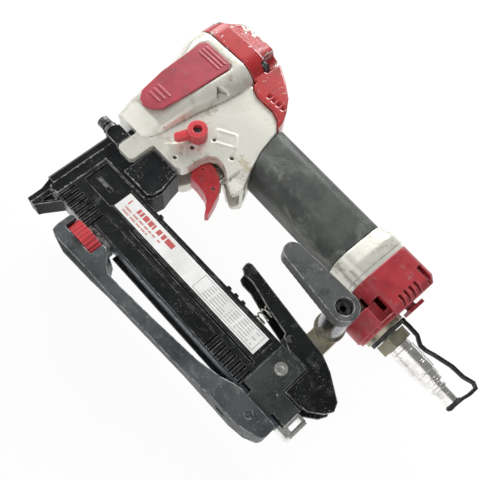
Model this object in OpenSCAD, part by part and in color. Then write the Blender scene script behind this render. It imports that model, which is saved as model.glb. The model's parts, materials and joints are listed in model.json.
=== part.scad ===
// Pneumatic flooring nailer: +X points to the rear, +Z up, -Y is the tool's left side.
// The origin is on the driver line, where the nose tip meets the work.

/* [Head] */
// Height of the joint between housing and head cap
joint_z = 189; // [185:1:193]
// Overall height of the tool
top_z = 223; // [219:1:227]
// Half of the head's length, front to rear
head_half_l = 35; // [34:0.5:37]
// Half of the head's width
head_half_w = 30; // [29:0.5:32]
// Radius of the piston bore
bore_r = 14.4; // [14:0.1:14.6]
// Stroke of the piston and driver
stroke = 52; // [45:1:52]

/* [Handle] */
// How far the handle slopes down towards the rear, in degrees
handle_slope = 2.5; // [2:0.1:3]
// Half of the grip's height
grip_half_h = 24; // [23:0.5:25]
// Half of the grip's width
grip_half_w = 18; // [17:0.5:19]
// Radius of the air plug's sealing nose
plug_r = 5; // [4.8:0.1:5.2]

/* [Magazine] */
// Half of the magazine's width
mag_half_w = 12; // [12:0.1:12.5]
// Height of the magazine's underside
mag_bottom = 22.5; // [22.5:0.1:22.8]
// Height of the magazine's top
mag_top = 61; // [60.5:0.1:61]

/* [Base] */
// Radius of the depth dial
dial_r = 17; // [16.5:0.1:17.2]
// Half of the front block's width
base_half_w = 15; // [14.5:0.1:15.5]

/* [Hook] */
// Distance of the hook arm's outer face from the tool's centre plane
hook_reach = 52; // [48:1:56]
// Radius of the hook's boss and post
hook_r = 10; // [9.5:0.1:10.2]

/* [Hidden] */
$fn = 48;

// Running clearance between pieces that slide or turn on each other
run = 0.3;

// Head
sleeve_wall = 1.4;
sleeve_r = bore_r + sleeve_wall;
sleeve_z0 = 106;
sleeve_z1 = 179;
bumper_h = 8;
chamber_r = 23;
chamber_z0 = 163;
valve_r = 22;
valve_h = 6.5;
gasket_t = 0.8;
cap_roof_z = 207;
head_corner = 20;
piston_z = sleeve_z0 + bumper_h + run + stroke;
piston_h = 12;
blade_x = [0.4, 1.6];
blade_half_w = 2.2;
// Blade ends this far above the work at full stroke
blade_rest = 1;
blade_z0 = blade_rest + stroke;

// Body web and trigger
web_half_w = 19;
slot_half_w = 8;
slot_top = 128;
trigger_half_w = 7;
pivot = [46, 113];
arm_pivot = [77.4, 106.2];
arm_pin_r = 1.2;
bush_r = 6;
stem_r = 2.4;
pin_r = 1.6;
valve_x = 74;
knob = [41.5, 122.5];
knob_r = 7.5;
pin_holes = [[51.5, 130], [44, 98], [72, 129]];
lock_r = 3;

// Handle frame: its origin is on the handle's centre line, at the face of the rear flange
handle_at = [200, 0, 150.9];
flange_half_w = 22;
flange_half_h = 26;
cap_l = 35;
plug_z = -25.5;
lobe_r = 20;
screw_r = 2.1;
cap_screws = [[-12, 16], [12, 16]];
gasket_l = 3;

// Nose and magazine
nose_split = blade_x[0] - 0.2;
channel_back = blade_x[1] + 0.2;
channel_half_w = blade_half_w + 0.3;
tip_half_w = 8;
mag_x0 = 9;
mag_x1 = 196;
wall_y = 9;
rail_slot = 3.2;
core_half_t = 1.4;
rail_x0 = 12;
rail_x1 = 231;
ear_z = [72.5, 85.5];

// End block, latch lever and strut
block_x1 = 234;
block_bolt = [207, 48.7];
lever_pin_r = 2.5;
lever_pivot = [197.5, 67.5];
lever_in = 10.3;
lever_out = 12.3;
strut_x = [201, 218.6];
strut_top_x = 215.7;
ear_in = 9.2;
strut_half_t = 5;

// Hook
hook_axis = [208.5, 95];
hook_screw_r = 3;
arm_t = 12;
hook_tip = [161.5, 97.5];
tip_r = 6.8;

// Base
base_pivot = [213.5, 13];
base_bore_r = 2.5;
dial_x = 48.5;
dial_z = [6.6, 16.6];
stud_r = 3;
dial_window = [34.6, 63.2];

// ---------------------------------------------------------------- shapes

// Box with corner-to-corner coordinates
module span(a, b) translate(a) cube(b - a);

// Profile in X and Z, given thickness along Y from y0 to y1
module side(points, y0, y1)
  translate([0, y1, 0]) rotate([90, 0, 0]) linear_extrude(y1 - y0) polygon(points);

// Rod along Y from y0 to y1 at x, z
module rod_y(at, r, y0, y1)
  translate([at[0], y0, at[1]]) rotate([-90, 0, 0]) cylinder(r = r, h = y1 - y0);

// Rod along X from x0 to x1 at y, z
module rod_x(at, r, x0, x1)
  translate([x0, at[0], at[1]]) rotate([0, 90, 0]) cylinder(r = r, h = x1 - x0);

// Upright block with round vertical corners
module round_block(hx, hy, r, z0, z1) {
  span([-hx + r, -hy, z0], [hx - r, hy, z1]);
  span([-hx, -hy + r, z0], [hx, hy - r, z1]);
  for (sx = [-1, 1], sy = [-1, 1])
    translate([sx * (hx - r), sy * (hy - r), z0]) cylinder(r = r, h = z1 - z0);
}

// Block along X with round edges, centred on the X axis
module round_bar(hy, hz, r, x0, x1)
  translate([x0, 0, 0]) rotate([0, 90, 0]) rotate([0, 0, 90])
    round_block(hy, hz, r, 0, x1 - x0);

module handle_frame() translate(handle_at) rotate([0, handle_slope, 0]) children();

// Helix of round wire, swept as one closed mesh
module coil(turns, r, wire, pitch, steps = 12, sides = 6) {
  n = turns * steps;
  points = [for (i = [0:n], k = [0:sides - 1])
    let (t = i / steps, a = 360 * t, b = 360 * k / sides,
         rr = r + wire * cos(b))
    [rr * cos(a), rr * sin(a), pitch * t + wire * sin(b)]];
  faces = concat(
    [[for (k = [sides - 1:-1:0]) k]],
    [[for (k = [0:sides - 1]) n * sides + k]],
    [for (i = [0:n - 1], k = [0:sides - 1])
      let (a = i * sides + k, b = i * sides + (k + 1) % sides)
      [a, b + sides, a + sides]],
    [for (i = [0:n - 1], k = [0:sides - 1])
      let (a = i * sides + k, b = i * sides + (k + 1) % sides)
      [a, b, b + sides]]);
  translate([0, 0, wire]) polyhedron(points, faces, convexity = 10);
}

// ---------------------------------------------------------------- head

// Side profile of the web between head and grip
web_profile = [
  [20, 93], [50, 93], [54.5, 96], [56.3, 101], [57, 112], [59.4, 118.5], [64, 121.5],
  [71, 121.5], [77.8, 118.5], [82, 115.4], [90, 111.5], [93, 111.8], [95.3, 119.5], [88, 134], [81.5, 150],
  [77, 171], [70, 178], [62, 181], [44, 181.5], [34, 186], [20, joint_z]
];

// Corners of two blank raised frames beside the lock knob
web_frames = [
  [[30.5, 100], [40.5, 112], [49, 105], [39, 93.5]],
  [[46, 138], [60, 146], [68, 137], [54, 128.5]]
];

// Head sections from the top down: height, front, rear, half width, corner radius
head_sections = [
  [175, -head_half_l, head_half_l, head_half_w, head_corner],
  [160, -27, 32, head_half_w, 17],
  [137, -21.5, 26, head_half_w - 1, 13],
  [106, -18.5, 23, 25, 11],
  [91, -16, 22, 19, 9]
];
module head_slice(s, h)
  translate([(s[1] + s[2]) / 2, 0, 0]) round_block((s[2] - s[1]) / 2, s[3], s[4], s[0], s[0] + h);
module head_shape() {
  head_slice(head_sections[0], joint_z - head_sections[0][0]);
  for (i = [0:len(head_sections) - 2]) hull() {
    head_slice(head_sections[i], 0.5);
    head_slice(head_sections[i + 1], 0.5);
  }
}

module ear(s) side([[9, 74], [11, 72], [23, 72], [25.5, 75], [25.5, 95], [9, 95]],
  s > 0 ? 12.3 : -web_half_w, s > 0 ? web_half_w : -12.3);

module housing() color("gainsboro") difference() {
  union() {
    head_shape();
    side(web_profile, -web_half_w, web_half_w);
    for (s = [-1, 1]) ear(s);
    // low raised frames on the left side
    for (f = web_frames) difference() {
      side(f, -web_half_w - 0.35, -web_half_w + 1);
      side([for (q = f) (q * 0.84 + (f[0] + f[1] + f[2] + f[3]) * 0.04)], -web_half_w - 1, -web_half_w);
    }
    handle_frame() {
      round_bar(14, 20, 10, -112, -18);
      hull() {
        round_bar(grip_half_w + 1, grip_half_h + 0.4, 13, -19.5, -18.5);
        round_bar(flange_half_w, flange_half_h, 12, -8, -7);
      }
      round_bar(flange_half_w, flange_half_h, 12, -7.2, 0);
    }
  }
  // sleeve seat and air chamber
  translate([0, 0, sleeve_z0]) cylinder(r = sleeve_r, h = 100);
  translate([0, 0, chamber_z0]) cylinder(r = chamber_r, h = 100);
  // way for the driver below the sleeve
  span([-2, -6, 80], [4, 6, sleeve_z0 + 1]);
  // duct from handle to head, and the handle's air chamber
  handle_frame() {
    rod_x([0, 2], 10, -190, -100);
    round_bar(11, 16, 8, -104, 1);
  }
  // slot for the trigger
  span([38, -slot_half_w, 90], [94, slot_half_w, slot_top]);
  // valve seat, pivot holes and lock bore
  translate([valve_x, 0, 120]) cylinder(r = bush_r, h = 32);
  rod_y(pivot, pin_r, -30, 30);
  for (h = pin_holes) rod_y(h, pin_r, -30, -slot_half_w - 0.3);
  rod_y(knob, lock_r + 0.05, -30, -10);
  // screw holes for the end cap
  handle_frame() for (c = cap_screws) rod_x(c, screw_r + 0.1, -7.5, 1);
  // hollow between head and web on each side
  for (s = [-1, 1]) side([[20.5, 160], [35, 168], [38, 166], [36.5, 152], [33, 150.5]],
    s > 0 ? 21.5 : -40, s > 0 ? 40 : -21.5);
  // recesses for the side pads
  for (s = [-1, 1]) pad_recess(s);
  // slope under the web's lower rear corner
  for (s = [-1, 1]) translate([83, 0, 0]) rotate([90, 0, 90]) linear_extrude(22)
    polygon([[s * 9, 104], [s * 12, 112], [s * 16.5, 119], [s * 19.2, 129], [s * 30, 129], [s * 30, 104]]);
  // seat of the nose body
  span([-20, -12.3, 60], [59, 12.3, 92]);
  span([26.5, -15.3, 60], [59, 15.3, 92]);
}

pad_points = [
  [-17, 176], [-14, 181], [13, 181], [16, 177], [14, 135], [11.5, 114],
  [7, 108], [0, 105], [-6, 107], [-11, 113], [-15, 135]
];
// Recesses are slightly larger than the pads: the rim is scaled about the pad's middle
pad_mid_z = 143;
pad_scale = [1.07, 1.03];
pad_in = head_half_w - 1.5;
pad_out = head_half_w + 0.6;
pad_rib_out = pad_out + 0.5;
module pad_recess(s)
  side([for (q = pad_points) [q[0] * pad_scale[0], pad_mid_z + (q[1] - pad_mid_z) * pad_scale[1]]],
    s > 0 ? pad_in : -40, s > 0 ? 40 : -pad_in);
// Ribs across the pads: height and half length
pad_ribs = [[177, 11], [173.5, 11], [170, 11], [125, 7], [120.5, 6.5], [116, 5.5]];
module pad(s) color("firebrick") {
  side(pad_points, s > 0 ? pad_in : -pad_out, s > 0 ? pad_out : -pad_in);
  for (r = pad_ribs)
    span([-r[1], s > 0 ? pad_in : -pad_rib_out, r[0] - 0.7], [r[1], s > 0 ? pad_rib_out : -pad_in, r[0] + 0.7]);
}

module cylinder_sleeve() color("silver") difference() {
  translate([0, 0, sleeve_z0 + 0.2]) cylinder(r = sleeve_r, h = sleeve_z1 - sleeve_z0 - 0.2);
  translate([0, 0, sleeve_z0 - 1]) cylinder(r = bore_r, h = 100);
}

module bumper() color("dimgray") difference() {
  translate([0, 0, sleeve_z0 + 0.2]) cylinder(r = bore_r - 0.05, h = bumper_h - 0.4);
  span([-1.5, -4, 90], [3.5, 4, 120]);
}

module head_gasket() color("black") difference() {
  round_block(head_half_l - 0.6, head_half_w - 0.6, head_corner, joint_z, joint_z + gasket_t);
  translate([0, 0, joint_z - 1]) cylinder(r = chamber_r, h = 5);
}

// Head cap: crown over the cylinder and exhaust cover behind it
cover_profile = [
  [22, joint_z], [34, 186.2], [44, 181.7], [62, 181.2], [70, 178.2], [76.5, 172],
  [75, 179], [70, 188], [62, 198], [50, 207], [40, 213], [30, 219], [22, 220]
];
bolt_spots = [[-25, -20], [-25, 20], [27, -20], [27, 20]];
bolt_seat_z = 202;

module head_cap() color("firebrick") difference() {
  union() {
    z0 = joint_z + gasket_t;
    round_block(head_half_l, head_half_w, head_corner, z0, 206);
    hull() {
      round_block(head_half_l - 1, head_half_w - 1, head_corner - 1, 205.5, 206.5);
      translate([2, 0, 0]) round_block(24, 22, 12, top_z - 2, top_z);
    }
    difference() {
      side(cover_profile, -22, 22);
      span([-40, -40, 150], [head_half_l, 40, z0]);
    }
  }
  // the valve chamber, closed at the top
  translate([0, 0, 180]) cylinder(r = valve_r + run, h = cap_roof_z - 180);
  // seats for the bolts
  for (b = bolt_spots) {
    translate([b[0], b[1], bolt_seat_z]) cylinder(r = 7, h = 60);
    translate([b[0], b[1], 180]) cylinder(r = 2.6, h = 60);
  }
  // exhaust passage
  span([20, -14, 191], [55, 14, 196]);
  for (i = [0:3]) span([50 + i * 5, -30, 186], [52.5 + i * 5, -20, 190]);
}

module cap_bolts() color("dimgray")
  for (b = bolt_spots) translate([b[0], b[1], bolt_seat_z]) {
    difference() {
      cylinder(r = 5, h = 5);
      translate([0, 0, 2.5]) cylinder(r = 2.4, h = 5, $fn = 6);
    }
    translate([0, 0, -12]) cylinder(r = 2.5, h = 12);
  }

module head_valve() color("dimgray") difference() {
  translate([0, 0, sleeve_z1 + 0.4]) cylinder(r = valve_r, h = valve_h);
  translate([0, 0, 170]) cylinder(r = 5, h = 40);
}

module head_valve_spring() color("silver")
  translate([0, 0, sleeve_z1 + valve_h + 0.5]) coil(4, 14, 0.9, (cap_roof_z - 0.2 - sleeve_z1 - valve_h - 2) / 4);

// ---------------------------------------------------------------- piston

module piston() color("silver") difference() {
  translate([0, 0, piston_z]) cylinder(r = bore_r - 0.1, h = piston_h);
  translate([0, 0, piston_z + 5]) cylinder(r = 10, h = 20);
  difference() {
    translate([0, 0, piston_z + 2]) cylinder(r = 30, h = 2.5);
    translate([0, 0, piston_z]) cylinder(r = bore_r - 2, h = 20);
  }
  span([blade_x[0], -blade_half_w, piston_z - 1], [blade_x[1], blade_half_w, piston_z + 5.5]);
}

module piston_ring() color("black") difference() {
  translate([0, 0, piston_z + 2.2]) cylinder(r = bore_r - 0.05, h = 2.1);
  translate([0, 0, piston_z]) cylinder(r = bore_r - 1.9, h = 20);
}

module driver_blade() color("slategray")
  span([blade_x[0], -blade_half_w, blade_z0], [blade_x[1], blade_half_w, piston_z + 5]);

// ---------------------------------------------------------------- handle

module grip_sleeve() color("darkslategray") difference() {
  handle_frame() round_bar(grip_half_w, grip_half_h, 13, -128, -19.8);
  // open middle, around the handle's core
  handle_frame() round_bar(14.1, 20.1, 10, -130, -18);
  // front edge follows the web's rear edge
  side([[20, 60], [95.6, 60], [95.6, 119.5], [88.3, 134], [81.8, 150], [77.3, 171], [72, 230], [20, 230]], -40, 40);
}

module end_plate() color("gainsboro") handle_frame() difference() {
  round_bar(flange_half_w - 0.4, flange_half_h - 0.4, 12, 0, gasket_l);
  round_bar(15, 18, 8, -1, gasket_l + 2);
  for (c = cap_screws) rod_x(c, screw_r + 0.1, -1, gasket_l + 1);
}

module end_cap() color("crimson") handle_frame() difference() {
  union() {
    round_bar(flange_half_w, flange_half_h - 0.8, 12, gasket_l, cap_l - 5);
    hull() {
      round_bar(flange_half_w, flange_half_h - 0.8, 12, cap_l - 7, cap_l - 5);
      round_bar(flange_half_w - 4, flange_half_h - 4, 9, cap_l - 0.5, cap_l);
    }
    // lower lobe that carries the air inlet
    translate([0, 0, plug_z]) {
      rod_x([0, 0], lobe_r, 18, cap_l - 2.5);
      rod_x([0, 0], lobe_r - 1.5, cap_l - 3, cap_l);
    }
  }
  // hollow inside, and the inlet
  round_bar(flange_half_w - 4, flange_half_h - 4, 9, 0, cap_l - 8);
  translate([0, 0, plug_z]) rod_x([0, 0], 9, 10, cap_l + 5);
  // window and slots on each side
  for (s = [-1, 1]) {
    span([17, s > 0 ? 13 : -25, -31], [cap_l - 3.5, s > 0 ? 25 : -13, -19]);
    for (i = [0:3]) span([26, s > 0 ? flange_half_w - 4 : -flange_half_w - 1, -10 + i * 5],
                         [cap_l + 1, s > 0 ? flange_half_w + 1 : 4 - flange_half_w, -7.6 + i * 5]);
    span([20, s > 0 ? 16 : -30, 15], [cap_l + 1, s > 0 ? 30 : -16, 19.5]);
  }
  // button seat and screw seats
  rod_x([0, 2], 4 + run, 0, cap_l + 5);
  for (c = cap_screws) {
    rod_x(c, screw_r + 0.1, -5, cap_l + 5);
    rod_x(c, 4.2, cap_l - 6, cap_l + 5);
  }
}

module end_cap_screws() color("dimgray") handle_frame()
  for (c = cap_screws) {
    difference() {
      rod_x(c, 4, cap_l - 6, cap_l - 2);
      translate([cap_l - 4, c[0], c[1]]) rotate([0, 90, 0]) cylinder(r = 1.8, h = 5, $fn = 6);
    }
    rod_x(c, screw_r, -6, cap_l - 6);
  }

module air_filter() color("tan") handle_frame() difference() {
  round_bar(10.5, 15.5, 7.5, -6, -2);
  rod_x([0, 2], 4.5, -7, 0);
}

module duster_button() color("crimson") handle_frame() {
  rod_x([0, 2], 4, -3, cap_l + 2.4);
  span([cap_l + 2.4, -6, -4], [cap_l + 5.2, 6, 10]);
}

module plug_frame() handle_frame() translate([0, 0, plug_z]) children();

module plug_flange() color("darkkhaki") plug_frame() difference() {
  union() {
    rod_x([0, 0], 9, 18, cap_l);
    rod_x([0, 0], 15.5, cap_l, cap_l + 3);
  }
  rod_x([0, 0], 6, 5, cap_l + 10);
}

module plug_nut() color("wheat") plug_frame() difference() {
  translate([cap_l + 7, 0, 0]) rotate([0, 90, 0]) cylinder(r = 12.8, h = 8, $fn = 6);
  rod_x([0, 0], 7.6, cap_l, cap_l + 30);
}

module air_plug() color("silver") plug_frame() difference() {
  union() {
    rod_x([0, 0], 5.9, 19, cap_l + 6.8);
    rod_x([0, 0], 7.5, cap_l + 6.8, cap_l + 15.2);
    rod_x([0, 0], 8.7, cap_l + 15.2, cap_l + 40);
    rod_x([0, 0], 7, cap_l + 40, cap_l + 49);
    rod_x([0, 0], 4.6, cap_l + 49, cap_l + 51.5);
    rod_x([0, 0], 6, cap_l + 51.5, cap_l + 54);
    rod_x([0, 0], plug_r, cap_l + 54, cap_l + 65);
  }
  rod_x([0, 0], 3.2, 10, cap_l + 80);
}

// Ring round the plug's neck, and the strap with the cap that swings off the plug's end
strap_root = [cap_l + 4.7, 15.6];
strap_half_t = 1.1;
strap_pts = [
  [0, 0], [5.5, 0.4], [14, 0.2], [17.5, -2], [20.5, -3.6], [25, -3.2], [31, -1],
  [44, 2.6], [54, 3.2], [61, 5.6], [64.5, 4], [64.3, -2.6], [63, -8.6], [62.4, -15.6], [62.4, -20.6]
];
module strap_ring() color("black") plug_frame() difference() {
  rod_x([0, 0], 14, cap_l + 3.2, cap_l + 6.4);
  rod_x([0, 0], 8.2, cap_l, cap_l + 10);
}
module plug_cap_strap() color("black") plug_frame() {
  translate([strap_root[0], 0, strap_root[1]])
    side(concat(edge_of(strap_pts, strap_half_t), reversed(edge_of(strap_pts, -strap_half_t))), -2, 2);
  rod_y(strap_root, 1.5, -2.3, 2.3);
  rod_x([0, 0], 6.2, cap_l + 65.4, cap_l + 67.4);
}
// Points beside a path, at a distance from it
function way(a, b) = (b - a) / norm(b - a);
function edge_of(path, d) = [for (i = [0:len(path) - 1])
  let (u = way(path[max(i - 1, 0)], path[min(i + 1, len(path) - 1)])) path[i] + d * [-u[1], u[0]]];
function reversed(list) = [for (i = [len(list) - 1:-1:0]) list[i]];

// ---------------------------------------------------------------- trigger

trigger_profile = [
  [41.8, 110], [42, 116], [45, 118], [52, 118], [60, 119.5], [66, 119], [71, 117.5], [78, 112.5],
  [82, 108], [85, 102.5], [87.4, 97], [90.2, 90], [88.4, 87.6], [85.6, 91.2], [81.5, 95.6], [76, 98.6],
  [67, 99.8], [59, 100], [57, 103], [54, 107], [48, 108]
];
arm_half_w = 4.6;
module trigger() color("crimson") difference() {
  side(trigger_profile, -trigger_half_w, trigger_half_w);
  // finger piece narrows towards its tip
  for (s = [-1, 1]) translate([80, 0, 0]) rotate([90, 0, 90]) linear_extrude(20)
    polygon([[s * 3.2, 80], [s * (trigger_half_w + 0.1), 101], [s * 12, 101], [s * 12, 80]]);
  // hollow above, for the arm
  side([[62, 108], [74, 103.4], [80, 102.9], [81.4, 105], [90, 130], [62, 130]], -arm_half_w - 0.4, arm_half_w + 0.4);
  rod_y(pivot, pin_r + 0.05, -20, 20);
  rod_y(arm_pivot, arm_pin_r, -20, 20);
  // blind holes in both sides
  for (s = [-1, 1]) {
    rod_y([59.6, 111.7], 1.1, s > 0 ? trigger_half_w - 1 : -20, s > 0 ? 20 : 1 - trigger_half_w);
  }
}

// Arm that the trigger carries, with an eye round its pin
module trigger_arm() color("darkkhaki") difference() {
  union() {
    side([[75.1, 106.2], [74.6, 110], [64, 112.6], [63, 114.4], [66, 115], [79, 112.8], [79.7, 106.6]],
      -arm_half_w, arm_half_w);
    rod_y(arm_pivot, 2.4, -arm_half_w, arm_half_w);
  }
  rod_y(arm_pivot, arm_pin_r + 0.05, -10, 10);
}

module arm_pin() color("black") rod_y(arm_pivot, arm_pin_r, -trigger_half_w, trigger_half_w);

module trigger_pin() color("black") rod_y(pivot, pin_r, -web_half_w, web_half_w);

module trigger_spring() color("silver")
  translate([64.8, 0, 115.9]) coil(5, 2.3, 0.35, 2.25);

module valve_bush() color("darkkhaki") difference() {
  translate([valve_x, 0, 121]) cylinder(r = bush_r, h = 31);
  translate([valve_x, 0, 110]) cylinder(r = stem_r + 0.08, h = 60);
}

module valve_stem() color("silver") translate([valve_x, 0, 115.2]) cylinder(r = stem_r, h = 24);

module lock_knob() color("red") difference() {
  union() {
    rod_y(knob, knob_r, -web_half_w - 10.5, -web_half_w - 0.2);
    hull() {
      rod_y([knob[0] - 1, knob[1] - 3], 3.2, -web_half_w - 9.5, -web_half_w - 3, $fn = 24);
      rod_y([knob[0] - 6, knob[1] - 14], 3, -web_half_w - 9, -web_half_w - 3.5, $fn = 24);
    }
  }
  rod_y(knob, 3.6, -web_half_w - 12, -web_half_w - 6);
  rod_y(knob, 2.5, -web_half_w - 12, 0);
}

module lock_shaft() color("dimgray") {
  rod_y(knob, 2.5, -web_half_w - 7.5, -10);
  rod_y(knob, lock_r, -web_half_w, -10.2);
}

module housing_pins() color("black")
  for (h = pin_holes) rod_y(h, pin_r, -web_half_w + 0.8, -slot_half_w - 0.5);

// ---------------------------------------------------------------- nose

// Front half of the nose: plate with chamfered front corners, tip and bolt flanges
nose_front_z0 = 20.7;
bolt_at = [15.5, (ear_z[0] + ear_z[1]) / 2];
module nose_plate() color("dimgray") difference() {
  union() {
    translate([0, 0, nose_front_z0]) linear_extrude(ear_z[1] - nose_front_z0)
      polygon([[nose_split, -mag_half_w], [-5, -mag_half_w], [-8, -mag_half_w + 3],
               [-8, mag_half_w - 3], [-5, mag_half_w], [nose_split, mag_half_w]]);
    side([[-4, 0], [nose_split, 0], [nose_split, nose_front_z0], [-7, nose_front_z0], [-4, 12]], -tip_half_w, tip_half_w);
    for (s = [-1, 1])
      span([-5.5, s > 0 ? mag_half_w : -web_half_w, ear_z[0]], [8.7, s > 0 ? web_half_w : -mag_half_w, ear_z[1]]);
  }
  for (s = [-1, 1]) {
    rod_x([s * bolt_at[0], bolt_at[1]], 2.6, -10, 10);
    rod_x([s * bolt_at[0], bolt_at[1]], 5.7, -12, -5.5);
  }
}

nose_profile = [
  [nose_split, 0], [3.6, 0], [5, 3], [14, 17.2], [mag_x0 - 0.3, 17.2], [mag_x0 - 0.3, mag_top + 0.3],
  [54, mag_top + 0.3], [57, 66], [58.5, 74], [56, 82], [54, 91.9], [nose_split, 91.9]
];
module nose_body() color("darkslategray") difference() {
  union() {
    side(nose_profile, -mag_half_w, mag_half_w);
    // wide block under the web, with soft rear corners
    side([[27, 64], [53, 64], [56, 67], [57, 75], [54.5, 84], [53, 91.9], [27, 91.9]], -15, 15);
  }
  // driver channel
  span([nose_split - 1, -channel_half_w, -1], [channel_back, channel_half_w, 100]);
  // staple entry from the magazine
  span([0, -rail_slot, 26], [20, rail_slot, 56]);
  // narrow tip
  for (s = [-1, 1]) span([-5, s > 0 ? tip_half_w : -15, -1], [15, s > 0 ? 15 : -tip_half_w, 17.2]);
  // pocket in each side of the tip
  for (s = [-1, 1])
    side([[4, 6], [4.5, 15.5], [11, 15.5]], s > 0 ? 5.5 : -12, s > 0 ? 12 : -5.5);
}

module nose_bolts() color("dimgray")
  for (s = [-1, 1]) {
    at = [s * bolt_at[0], bolt_at[1]];
    difference() {
      rod_x(at, 4.7, -17.5, -11);
      translate([-18, at[0], at[1]]) rotate([0, 90, 0]) cylinder(r = 2.6, h = 4, $fn = 6);
    }
    rod_x(at, 4, -11, -9);
    rod_x(at, 5.6, -9, -5.5);
    rod_x(at, 2.5, -5.5, 9);
  }

// ---------------------------------------------------------------- magazine

module magazine_body() color("dimgray") difference() {
  span([mag_x0, -wall_y, mag_bottom + 1.5], [mag_x1, wall_y, mag_top - 0.5]);
  // slot for rail, staples and pusher
  span([mag_x0 - 1, -rail_slot, mag_bottom], [mag_x1 + 1, rail_slot, 57]);
}

label_box = [[43, 42], [187.6, 57]];
rib_pitch = 4.6;
module cover(s) difference() {
  y0 = s > 0 ? wall_y : -mag_half_w;
  y1 = s > 0 ? mag_half_w : -wall_y;
  union() {
    side([[mag_x0, 17.4], [43, 17.4], [44, mag_bottom], [mag_x1, mag_bottom], [mag_x1, mag_top],
          [mag_x0, mag_top]], y0, y1);
    // teeth along the top
    for (x = [70, 142, 149, 156]) span([x, y0, mag_top], [x + 3.2, y1, mag_top + 1.6]);
    // lip along the far side's underside
    if (s > 0) span([66, y0, 18.7], [190, y1, mag_bottom]);
  }
  out = s > 0 ? mag_half_w : -mag_half_w;
  // label recess, front panel and its window
  recess(out, [label_box[0][0] - 1, label_box[0][1] - 1], [label_box[1][0] + 3, label_box[1][1] + 1], 0.8);
  recess(out, [12, 39.5], [42, 60], 1.2);
  recess(out, [16, 46.5], [33, 49.5], 20);
  // long groove
  recess(out, [66, 37.6], [192, 39.2], 1);
  recess(out, [44, 33], [160, 33.8], 0.6);
  // grooves between the grip ribs
  for (i = [0:7]) recess(out, [11 + i * rib_pitch, 17], [12.6 + i * rib_pitch, 31.5], 1.5);
  for (i = [0:7]) recess(out, [161.5 + i * rib_pitch, 21], [163.1 + i * rib_pitch, 33.5], 1.5);
}
// Shallow cut of the given depth into a cover's outer face, between two points in X and Z
module recess(out, a, b, depth)
  span([a[0], out > 0 ? out - depth : out - 1, a[1]], [b[0], out > 0 ? out + 1 : out + depth, b[1]]);

module left_cover() color("darkslategray") cover(-1);
module right_cover() color("darkslategray") cover(1);

module label_plate() color("white")
  span([label_box[0][0], -mag_half_w + 0.3, label_box[0][1]], [label_box[1][0], -mag_half_w + 0.8, label_box[1][1]]);

module sole_plate() color("dimgray") difference() {
  span([mag_x0, -wall_y, 17.4], [64, wall_y, 21.2]);
  translate([dial_x, 0, 10]) cylinder(r = stud_r, h = 20);
  span([0, -20, 10], [14.3, 20, 17.6]);
}

module magazine_rail() color("lightslategray") {
  span([rail_x0, -core_half_t, mag_bottom + 1.2], [rail_x1, core_half_t, 50]);
  span([rail_x0, -8.6, mag_bottom - 0.8], [rail_x1, 8.6, mag_bottom + 1.2]);
  // bumps along the underside
  for (x = [98, 116, 134, 152])
    intersection() {
      rod_y([x, mag_bottom + 1.7], 3, -8.6, -2.5);
      span([x - 5, -9, 18], [x + 5, 8, mag_bottom - 0.8]);
    }
}

module rail_handle() color("gainsboro") difference() {
  union() {
    span([rail_x1, -6, mag_bottom - 0.8], [241, 6, mag_bottom + 2.6]);
    span([block_x1 + 0.3, -6, mag_bottom - 0.8], [241, 6, 39]);
    span([240, -8, 23], [242.4, 8, 38]);
  }
  span([block_x1 + 2, -10, 27.5], [239.2, 10, 36.5]);
}

module pusher() color("silver") difference() {
  span([14, -2.9, 26.5], [34, 2.9, 53]);
  span([10, -core_half_t - 0.2, 20], [40, core_half_t + 0.2, 50.3]);
  span([15.5, -5, 32], [32.5, 5, 45.5]);
}

module pusher_spring() color("silver")
  translate([34.1, 0, 55.1]) rotate([0, 90, 0]) coil(12, 1.3, 0.3, 15.4, 8, 5);

// ---------------------------------------------------------------- end block and latch

module end_block() color("dimgray") difference() {
  union() {
    span([mag_x1 + 0.1, -mag_half_w, 25.5], [block_x1, mag_half_w, mag_top]);
    span([mag_x1 + 0.1 - 3, -10, mag_top], [222, 10, 73]);
    // two ears that carry the base's pivot
    for (s = [-1, 1]) side([[204, 26], [204, 13], [208, 7.5], [219, 7.5], [223, 13], [223, 26]],
      s > 0 ? ear_in : -mag_half_w, s > 0 ? mag_half_w : -ear_in);
  }
  span([mag_x1 - 1, -rail_slot, 20], [block_x1 + 1, rail_slot, 57]);
  // steps in both sides, where the lever's tail comes down
  for (s = [-1, 1]) span([218.2, s > 0 ? 10 : -15, 39.2], [240, s > 0 ? 15 : -10, 70]);
  // seats for strut, pins and bolt
  span([strut_x[0], -strut_half_t, 60], [strut_x[1], strut_half_t, 90]);
  rod_y(lever_pivot, lever_pin_r, -20, 20);
  rod_y(base_pivot, base_bore_r, -20, 20);
  rod_y(block_bolt, 2.6, -20, 20);
  // shallow marks
  for (s = [-1, 1]) rod_y([215.5, 32.5], 3.5, s > 0 ? mag_half_w - 0.5 : -20, s > 0 ? 20 : 0.5 - mag_half_w);
}

module end_block_bolt() color("silver") for (s = [-1, 1]) difference() {
  union() {
    rod_y(block_bolt, 4.6, s > 0 ? mag_half_w : -mag_half_w - 1, s > 0 ? mag_half_w + 1 : -mag_half_w);
    rod_y(block_bolt, 3.4, s > 0 ? mag_half_w : -mag_half_w - 2, s > 0 ? mag_half_w + 2 : -mag_half_w);
  }
  translate([block_bolt[0], s > 0 ? mag_half_w + 0.4 : -mag_half_w - 3.4, block_bolt[1]]) rotate([-90, 0, 0]) cylinder(r = 2.1, h = 3, $fn = 6);
}

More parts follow.
